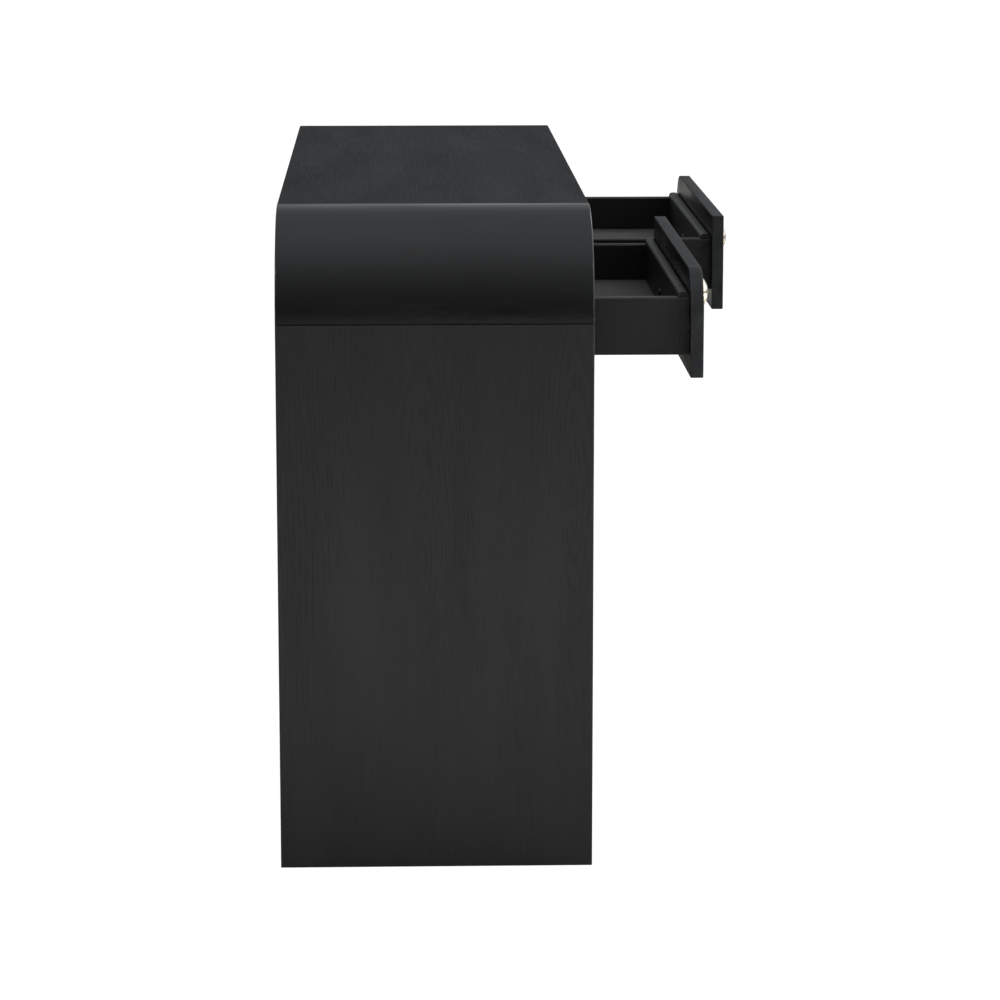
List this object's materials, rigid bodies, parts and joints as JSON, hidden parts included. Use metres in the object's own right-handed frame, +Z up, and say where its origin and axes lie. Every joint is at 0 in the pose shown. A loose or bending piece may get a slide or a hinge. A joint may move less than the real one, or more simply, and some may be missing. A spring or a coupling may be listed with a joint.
{
  "type": "console table",
  "caption": "Narrow hall table with a thick rounded inverted-U shell and wooden drawers under its top that slide out on runners.",
  "frame": {"origin": "on the floor, in the middle of the box that holds the table with its drawers partly open as stored: halfway along the table, and halfway between its back edge and the tip of the right drawer's knob, which is 0.125 m in front of the middle of the closed table", "axes": "+X along the table from its left end to its right end as seen from the front, -Y towards the user, the way the drawers open, +Z up"},
  "size_m": [1.4, 0.63, 0.8],
  "materials": {
    "grained_black_finish": "satin black stain over open-grain oak veneer",
    "smooth_black_lacquer": "smooth satin black lacquer",
    "drawer_box_paint": "satin black paint on solid boards",
    "drawer_bottom_finish": "matt taupe grey sheet",
    "bay_paint": "matt black paint",
    "bare_timber": "bare planed timber",
    "champagne_metal": "brushed champagne plating",
    "black_zinc_steel": "black zinc plated",
    "glide_plastic": "moulded"
  },
  "bodies": {
    "carcass": {"top_panel": "grained_black_finish", "top_underside": "grained_black_finish", "top_front_rail": "grained_black_finish", "top_back_rail": "grained_black_finish", "top_ribs": "bare_timber", "corner_dowels": "bare_timber", "foot_glides": "glide_plastic", "left_corner": "smooth_black_lacquer", "left_leg_outer_panel": "grained_black_finish", "left_leg_inner_panel": "grained_black_finish", "left_leg_front_stile": "grained_black_finish", "left_leg_back_stile": "grained_black_finish", "left_leg_rails": "bare_timber", "left_kickers": "bay_paint", "left_outer_runner": "bay_paint", "left_outer_guide": "bay_paint", "left_inner_runner": "bay_paint", "left_inner_guide": "bay_paint", "right_corner": "smooth_black_lacquer", "right_leg_outer_panel": "grained_black_finish", "right_leg_inner_panel": "grained_black_finish", "right_leg_front_stile": "grained_black_finish", "right_leg_back_stile": "grained_black_finish", "right_leg_rails": "bare_timber", "right_kickers": "bay_paint", "right_outer_runner": "bay_paint", "right_outer_guide": "bay_paint", "right_inner_runner": "bay_paint", "right_inner_guide": "bay_paint", "bay_floor": "bay_paint", "back_panel": "bay_paint", "centre_divider": "bay_paint", "closing_stops": "bay_paint", "pull_out_stops": "bay_paint", "floor_screws": "black_zinc_steel", "back_panel_screws": "black_zinc_steel"},
    "left_drawer": {"left_drawer_front": "grained_black_finish", "left_drawer_inner_front": "drawer_box_paint", "left_drawer_left_side": "drawer_box_paint", "left_drawer_right_side": "drawer_box_paint", "left_drawer_back": "drawer_box_paint", "left_drawer_bottom": "drawer_bottom_finish", "left_drawer_stop_tab": "drawer_box_paint", "left_drawer_knob": "champagne_metal", "left_drawer_knob_screw": "black_zinc_steel", "left_drawer_front_screws": "black_zinc_steel"},
    "right_drawer": {"right_drawer_front": "grained_black_finish", "right_drawer_inner_front": "drawer_box_paint", "right_drawer_left_side": "drawer_box_paint", "right_drawer_right_side": "drawer_box_paint", "right_drawer_back": "drawer_box_paint", "right_drawer_bottom": "drawer_bottom_finish", "right_drawer_stop_tab": "drawer_box_paint", "right_drawer_knob": "champagne_metal", "right_drawer_knob_screw": "black_zinc_steel", "right_drawer_front_screws": "black_zinc_steel"}
  },
  "joints": [
    {"name": "left_drawer_slide", "type": "slide", "parent": "carcass", "child": "left_drawer", "axis": [0, -1, 0], "range_m": [-0.137, 0.123]},
    {"name": "right_drawer_slide", "type": "slide", "parent": "carcass", "child": "right_drawer", "axis": [0, -1, 0], "range_m": [-0.218, 0.042]}
  ]
}
